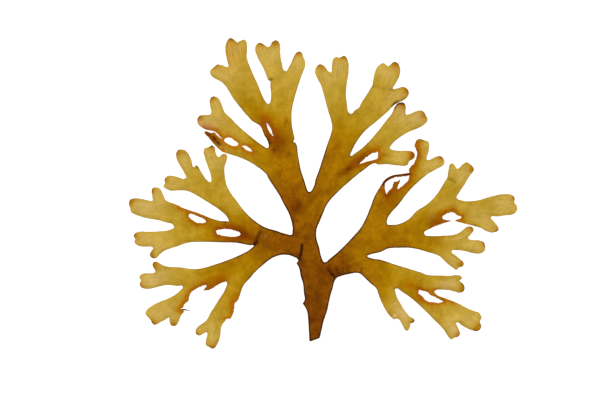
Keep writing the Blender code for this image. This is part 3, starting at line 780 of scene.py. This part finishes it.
def sheet_heights(places, margin, crease, sizes):
    """The heights of the underside and of the upper side, with the wrinkles and the folds."""
    wrinkle = np.array([noise.fractal((x * WRINKLE_FINENESS, y * WRINKLE_FINENESS, WRINKLE_SLICE),
                                      *WRINKLE_LAYERS) for x, y in places])
    relief = wrinkle * sizes.wrinkle - crease * sizes.crease
    relief *= smooth_step(margin / WRINKLE_FADE)
    low = underside_height(places)
    high = low + sheet_thickness(places, margin, sizes) + relief
    return np.maximum(low + relief * UNDERSIDE_RELIEF, 0.0), high


def both_faces(places, faces, low, high):
    """Points and faces of a closed sheet with an underside, an upper side and a rim."""
    count = len(places)
    flat = places + np.array(STALK_END)
    points = np.concatenate([np.column_stack([flat, high]), np.column_stack([flat, low])]) * MM
    sides = face_sides(faces)
    _, first, uses = np.unique(np.sort(sides, axis=1), axis=0, return_index=True, return_counts=True)
    a, b = sides[first[uses == 1]].T
    rim = np.stack([b, a, a + count, b + count], axis=1)
    return points.tolist(), faces.tolist() + (faces[:, ::-1] + count).tolist() + rim.tolist()


def hair_shape(points, radii):
    """Points and faces of a level hair along a line in plan, as thick as its radii."""
    level = underside_height(points).mean() + TIP_THICKNESS / 2
    along = np.gradient(points, axis=0)
    aside = np.stack([-along[:, 1], along[:, 0]], axis=1)
    aside /= np.linalg.norm(aside, axis=1)[:, None]
    corners = []
    for place, side, radius in zip(points + np.array(STALK_END), aside, radii):
        for step in range(HAIR_SIDES):
            angle = math.radians(360 / HAIR_SIDES * step)
            x, y = place + side * radius * math.cos(angle)
            corners.append((x * MM, y * MM, (level + radius * math.sin(angle)) * MM))
    last = len(corners) - HAIR_SIDES
    faces = [(start + step, start + (step + 1) % HAIR_SIDES,
              start + HAIR_SIDES + (step + 1) % HAIR_SIDES, start + HAIR_SIDES + step)
             for start in range(0, last, HAIR_SIDES) for step in range(HAIR_SIDES)]
    ends = [tuple(reversed(range(HAIR_SIDES))), tuple(range(last, len(corners)))]
    return corners, faces + ends


def smooth_mesh(name, points, faces):
    """A mesh that is shaded smooth."""
    mesh = bpy.data.meshes.new(name)
    mesh.from_pydata(points, [], faces)
    mesh.shade_smooth()
    return mesh


def store(mesh, name, values):
    """Keep a value for each point of the upper and of the under side."""
    layer = mesh.attributes.new(name, "FLOAT", "POINT")
    layer.data.foreach_set("value", np.tile(values, 2).astype(np.float32))


def add_object(scene, name, data):
    """Put a mesh, a light or a camera into the scene."""
    made = bpy.data.objects.new(name, data)
    scene.collection.objects.link(made)
    return made


class FORKWEED_OT_frond(bpy.types.Operator):
    """Lay the fine wrinkled sheet into the solid frond's outline"""
    bl_idname = "forkweed.frond"
    bl_label = "Build Frond"

    def execute(self, context):
        sizes = context.scene.forkweed_sizes
        places, faces, rings = sheet_plan(sizes)
        layers = sheet_layers(places, faces, rings)
        low, high = sheet_heights(places, layers["margin"], layers["crease"], sizes)
        mesh = smooth_mesh("forkweed_frond", *both_faces(places, faces, low, high))
        for name, values in layers.items():
            store(mesh, name, values)
        mesh.materials.append(weed_material(context.scene.forkweed_colours, layers))
        frond = add_object(context.scene, "forkweed_frond", mesh)
        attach(frond, "root")
        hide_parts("frond")
        return {"FINISHED"}


class FORKWEED_OT_hair(bpy.types.Operator):
    """Add the fine dark hair that is left at the torn lower ribbon"""
    bl_idname = "forkweed.hair"
    bl_label = "Add Hair"

    def execute(self, context):
        points, radii = zip(*HAIR)
        mesh = smooth_mesh("forkweed_hair", *hair_shape(np.array(points), radii))
        mesh.materials.append(hair_material(context.scene.forkweed_colours))
        hair = add_object(context.scene, "forkweed_hair", mesh)
        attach(hair, "root")
        return {"FINISHED"}


def add_node(tree, kind, **settings):
    """Add a node and set its properties."""
    made = tree.nodes.new(kind)
    for name, value in settings.items():
        setattr(made, name, value)
    return made


def plug(socket, value):
    """Give a socket a value, or join it to another node's output in its own tree."""
    if isinstance(value, bpy.types.NodeSocket):
        socket.id_data.links.new(value, socket)
    else:
        socket.default_value = value


def plug_all(node, values):
    """Give several of a node's sockets their values or links, by name."""
    for name, value in values.items():
        plug(node.inputs[name], value)


def maths(operation, first, second=0.0, clamp=False):
    """The outcome of one sum."""
    made = add_node(first.id_data, "ShaderNodeMath", operation=operation, use_clamp=clamp)
    plug(made.inputs[0], first)
    plug(made.inputs[1], second)
    return made.outputs[0]


def plus(first, second):
    """The sum of two values."""
    return maths("ADD", first, second)


def times(first, second):
    """The product of two values."""
    return maths("MULTIPLY", first, second)


def fade(value, start, end, low=1.0, high=0.0):
    """A smooth change from low at the start to high at the end of a value."""
    made = add_node(value.id_data, "ShaderNodeMapRange", interpolation_type="SMOOTHSTEP")
    plug_all(made, {"Value": value, "From Min": start, "From Max": end,
                    "To Min": low, "To Max": high})
    return made.outputs["Result"]


def blend(share, first, second, way="MIX"):
    """Two colours mixed by a share."""
    made = add_node(share.id_data, "ShaderNodeMix", data_type="RGBA", blend_type=way)
    plug_all(made, {"Factor": share, "A": first, "B": second})
    return made.outputs["Result"]


def speckle(place, fineness, detail, roughness=0.5):
    """Noise, from 0 to 1."""
    made = add_node(place.id_data, "ShaderNodeTexNoise")
    plug_all(made, {"Vector": place, "Scale": fineness, "Detail": detail, "Roughness": roughness})
    return made.outputs["Fac"]


def mottle_group():
    """The mottling of the tissue, built once and placed in each material of the weed."""
    group = bpy.data.node_groups.get("Weed Mottle")
    if group:
        return group
    group = bpy.data.node_groups.new("Weed Mottle", "ShaderNodeTree")
    group.interface.new_socket("Place", in_out="INPUT", socket_type="NodeSocketVector")
    for name in ("Fineness", "Detail", "Roughness"):
        group.interface.new_socket(name, in_out="INPUT", socket_type="NodeSocketFloat")
    group.interface.new_socket("Mottle", in_out="OUTPUT", socket_type="NodeSocketFloat")
    given = add_node(group, "NodeGroupInput").outputs
    made = speckle(given["Place"], given["Fineness"], given["Detail"], given["Roughness"])
    plug(add_node(group, "NodeGroupOutput").inputs["Mottle"], made)
    return group


def mottling(place, fineness, detail, roughness):
    """The mottling at a material's own fineness, from 0 to 1."""
    made = add_node(place.id_data, "ShaderNodeGroup", node_tree=mottle_group())
    plug_all(made, {"Place": place, "Fineness": fineness, "Detail": detail, "Roughness": roughness})
    return made.outputs["Mottle"]


def streaks(across, along, fineness):
    """Noise drawn out lengthwise along the ribbons, from 0 to 1."""
    run = add_node(across.id_data, "ShaderNodeCombineXYZ")
    plug_all(run, {"X": times(across, fineness), "Y": times(along, STREAK_CHANGE)})
    return speckle(run.outputs["Vector"], 1.0, 2.0)


def strayed(value, speckles, amount):
    """A value that noise moves up or down by up to half the amount."""
    return plus(value, times(maths("SUBTRACT", speckles, 0.5), amount))


def uneven(weed, value, by_drift, by_mottle):
    """A value that strays broadly with the drift and finely with the mottling."""
    return strayed(strayed(value, weed.drift, by_drift), weed.mottle, by_mottle)


# In the fades below distances are in millimetres, age runs from 0 to 1, and a noise keeps
# mostly between 0.3 and 0.7


def weed_values(tree, layers):
    """The values that the sheet keeps, and the noises that make the tissue uneven."""
    weed = SimpleNamespace()
    for name in layers:
        kept = add_node(tree, "ShaderNodeAttribute", attribute_name=name)
        setattr(weed, name, kept.outputs["Fac"])
    place = add_node(tree, "ShaderNodeTexCoord").outputs["Object"]
    weed.grain = speckle(place, GRAIN_FINENESS, 2.0)
    weed.mottle = mottling(place, MOTTLE_FINENESS, 4.0, 0.65)
    weed.drift = speckle(place, DRIFT_FINENESS, 2.0)
    weed.fine = streaks(weed.flow, weed.growth, FINE_STREAKS)
    weed.broad = streaks(weed.flow, weed.growth, BROAD_STREAKS)
    weed.near_tip = uneven(weed, weed.apex, 4.0, 1.8)
    return weed


def grown(weed, colours):
    """The colour by the tissue's age, from 0 at the stalk to 1 at the tips."""
    stops = ((0.22, colours.stalk), (0.44, colours.limb), (0.63, colours.ribbon),
             (0.75, colours.ochre), (0.85, colours.gold), (0.97, colours.tip))
    made = add_node(weed.age.id_data, "ShaderNodeValToRGB")
    ramp = made.color_ramp
    for place, shade in stops:
        ramp.elements.new(place).color = shade
    ramp.elements.remove(ramp.elements[0])
    ramp.elements.remove(ramp.elements[-1])
    plug(made.inputs["Fac"], uneven(weed, weed.age, 0.16, 0.17))
    return made.outputs["Color"]


def with_painted_backlight(weed, shade, tint):
    """Painted light coming through the thin tissue: pale streaks in the middle of each tip, clear of its
    margin and of tears.
    """
    painted_backlight = times(fade(weed.apex, 4.5, 9.0), fade(weed.margin, 0.3, 1.6, 0.0, 1.0))
    painted_backlight = times(painted_backlight, fade(weed.tear, 1.5, 5.0, 0.0, 1.0))
    return blend(times(painted_backlight, fade(weed.fine, 0.38, 0.62, 0.2, 0.85)), shade, tint)


def rusted(weed, shade, tint):
    """Rust in rings about the tears and in the patches where it has spread."""
    tear = uneven(weed, weed.tear, 2.8, 1.6)
    halo = plus(fade(tear, 0.5, 1.5, 0.65), fade(tear, 0.8, 3.0, 0.5))
    rust = times(weed.rust, fade(weed.mottle, 0.3, 0.62, 0.5, 1.3))
    return blend(plus(halo, rust), shade, tint, "MULTIPLY")


def tipped(weed, shade, tint):
    """A rusty rim round each tip."""
    rim = plus(fade(weed.near_tip, 0.4, 1.6, 0.75), fade(weed.near_tip, 0.8, 3.2, 0.5))
    return blend(rim, shade, tint, "MULTIPLY")


def toned(weed, shade):
    """Lighter and darker with all the noises, most of all in old tissue."""
    streaked = times(fade(weed.fine, 0.25, 0.75, 0.93, 1.07),
                     fade(weed.broad, 0.25, 0.75, 0.96, 1.04))
    mottled = times(fade(weed.mottle, 0.25, 0.75, 0.84, 1.15),
                    fade(weed.grain, 0.25, 0.75, 0.93, 1.07))
    drifted = fade(weed.drift, 0.3, 0.7, 0.93, 1.06)
    tone = times(streaked, times(drifted, mottled))
    change = times(maths("SUBTRACT", tone, 1.0), fade(weed.age, 0.4, 0.75, 1.7, 0.6))
    made = add_node(shade.id_data, "ShaderNodeVectorMath", operation="SCALE")
    plug(made.inputs[0], shade)
    plug(made.inputs["Scale"], plus(change, 1.0))
    return made.outputs["Vector"]


def bruised(weed, shade, tint):
    """Darker in the bruises and on the dark lines."""
    bruise = times(weed.bruise, fade(weed.mottle, 0.3, 0.62, 1.1, 0.45))
    return blend(maths("MAXIMUM", bruise, weed.line), shade, tint)


def fold_shaded(weed, shade, tint):
    """Painted shade, darkest in the pressed folds."""
    grain = fade(weed.grain, 0.3, 0.7, 1.5, 1.0)
    return blend(maths("MULTIPLY", weed.crease, grain, clamp=True), shade, tint)


def edged(weed, shade, tint):
    """A dark line along the margin, widest in old tissue and nearly lost where it is torn."""
    near_edge = maths("SUBTRACT", strayed(weed.margin, weed.mottle, 0.5),
                      fade(weed.age, 0.45, 0.8, 0.2, 0.0))
    lining = maths("MAXIMUM", fade(weed.age, 0.55, 0.9, 1.0, 0.12),
                   fade(weed.near_tip, 0.6, 2.0, 0.6, 0.0))
    edge = times(fade(near_edge, 0.1, 0.48), lining)
    edge = times(edge, fade(weed.tear, 0.5, 1.5, 0.15, 1.0))
    return blend(edge, shade, tint)


def fringed(weed, shade, tint):
    """Painted light: warm brown along the very margin of old tissue, where light comes through."""
    fringe = times(fade(weed.margin, 0.0, 0.11), fade(weed.age, 0.6, 0.9, 0.9, 0.0))
    return blend(fringe, shade, tint)


def new_material(name):
    """A new material and its shader."""
    material = bpy.data.materials.new(name)
    material.use_nodes = True
    return material, material.node_tree.nodes["Principled BSDF"]


def weed_material(colours, layers):
    """Wet weed: colours that grow with it, dark margins, rusty tears, streaks and mottling, with painted
    light in the tips and at the very margin and painted shade in the pressed folds.
    """
    material, shader = new_material("wet_weed")
    weed = weed_values(material.node_tree, layers)
    shade = grown(weed, colours)
    # Painted light: paler streaks in the tips, where light comes through the thin tissue
    shade = with_painted_backlight(weed, shade, colours.painted_backlight)
    shade = rusted(weed, shade, colours.tear)
    shade = tipped(weed, shade, colours.apex)
    shade = toned(weed, shade)
    shade = bruised(weed, shade, colours.bruise)
    shade = blend(weed.pale, shade, colours.worn)
    # Painted shade in the pressed folds, in the margin's dark brown
    shade = fold_shaded(weed, shade, colours.margin)
    shade = edged(weed, shade, colours.margin)
    shade = fringed(weed, shade, colours.fringe)
    bump = add_node(material.node_tree, "ShaderNodeBump")
    plug_all(bump, {"Strength": 0.35, "Distance": BUMP_HEIGHT * MM,
                    "Height": plus(weed.broad, weed.mottle)})
    plug_all(shader, {"Base Color": shade, "Specular IOR Level": 0.02,
                      "Roughness": fade(weed.mottle, 0.3, 0.7, 0.34, 0.46),
                      "Normal": bump.outputs["Normal"]})
    return material


def hair_material(colours):
    """Dark dried weed, a little paler in places."""
    material, shader = new_material("dark_hair")
    place = add_node(material.node_tree, "ShaderNodeTexCoord").outputs["Object"]
    mottle = mottling(place, HAIR_MOTTLE_FINENESS, 3.0, 0.5)
    shade = blend(fade(mottle, 0.35, 0.7, 0.0, 0.4), colours.margin, colours.ribbon)
    plug_all(shader, {"Base Color": shade, "Roughness": 0.5, "Specular IOR Level": 0.1})
    return material


def floor_material(stage):
    """A pale matt floor that gives off white light."""
    material, shader = new_material("floor_white")
    plug_all(shader, {"Base Color": stage.floor, "Roughness": 0.7, "Specular IOR Level": 0.1,
                      "Emission Color": WHITE, "Emission Strength": stage.floor_glow})
    return material


class FORKWEED_OT_stage(bpy.types.Operator):
    """Lay the pale floor, and add the soft light and the camera straight above"""
    bl_idname = "forkweed.stage"
    bl_label = "Set Stage"

    def execute(self, context):
        stage = context.scene.forkweed_stage
        add_floor(context.scene, stage)
        for side in (-1, 1):
            add_side_light(context.scene, stage, side)
        add_sky(context.scene, stage)
        add_camera(context.scene, stage)
        context.scene.view_settings.view_transform = "Standard"
        return {"FINISHED"}


def add_floor(scene, stage):
    """A plain floor that glows white, as a light table does."""
    half = stage.floor_size / 2
    mesh = bpy.data.meshes.new("floor")
    mesh.from_pydata([(-half, -half, 0), (half, -half, 0), (half, half, 0), (-half, half, 0)],
                     [], [(0, 1, 2, 3)])
    mesh.materials.append(floor_material(stage))
    floor = add_object(scene, "floor", mesh)


def add_side_light(scene, stage, side):
    """A wide soft light from one side, too far out for its glare to reach the camera."""
    lamp = bpy.data.lights.new("side_light", "AREA")
    lamp.shape = "RECTANGLE"
    lamp.size, lamp.size_y = LIGHT_SIZE
    lamp.energy = stage.key_power
    out, back, up = LIGHT_PLACE
    light = add_object(scene, "side_light", lamp)
    light.location = (side * out, back, up)
    light.rotation_euler = (-light.location).to_track_quat("-Z", "Y").to_euler()


def add_sky(scene, stage):
    """A white room, dimmer straight above so that the wet sheet keeps its colour."""
    world = bpy.data.worlds.new("room")
    world.use_nodes = True
    tree = world.node_tree
    height = add_node(tree, "ShaderNodeSeparateXYZ")
    plug(height.inputs[0], add_node(tree, "ShaderNodeTexCoord").outputs["Generated"])
    light = fade(height.outputs["Z"], *SKY_DIMS, stage.sky, stage.sky * SKY_ABOVE)
    plug_all(tree.nodes["Background"], {"Color": WHITE, "Strength": light})
    scene.world = world


def add_camera(scene, stage):
    """A long lens straight above, with the stalk at the bottom of the view."""
    view = bpy.data.cameras.new("camera")
    view.lens = stage.lens
    view.sensor_width = SENSOR_WIDTH
    camera = add_object(scene, "camera", view)
    camera.location = (*VIEW_MIDDLE, stage.view_width * stage.lens / SENSOR_WIDTH)
    scene.camera = camera


class FORKWEED_PT_panel(bpy.types.Panel):
    """The settings and the steps that use them"""
    bl_idname = "FORKWEED_PT_panel"
    bl_label = "Forkweed"
    bl_space_type = "VIEW_3D"
    bl_region_type = "UI"
    bl_category = "Forkweed"

    def draw(self, context):
        for group_name in SETTINGS:
            group = getattr(context.scene, group_name)
            box = self.layout.box()
            for name in group.__annotations__:
                box.prop(group, name)
        for operator in OPERATORS:
            self.layout.operator(operator.bl_idname)


SETTINGS = {"forkweed_sizes": ForkweedSizes, "forkweed_colours": ForkweedColours,
            "forkweed_stage": ForkweedStage}
OPERATORS = (FORKWEED_OT_frond, FORKWEED_OT_hair, FORKWEED_OT_stage)
CLASSES = (*SETTINGS.values(), *OPERATORS, FORKWEED_PT_panel)


def register():
    for kind in CLASSES:
        bpy.utils.register_class(kind)
    for name, kind in SETTINGS.items():
        setattr(bpy.types.Scene, name, PointerProperty(type=kind))


def unregister():
    for name in SETTINGS:
        delattr(bpy.types.Scene, name)
    for kind in reversed(CLASSES):
        bpy.utils.unregister_class(kind)


def main():
    register()
    bpy.ops.forkweed.frond()
    bpy.ops.forkweed.hair()
    bpy.ops.forkweed.stage()


if __name__ == "__main__":
    main()
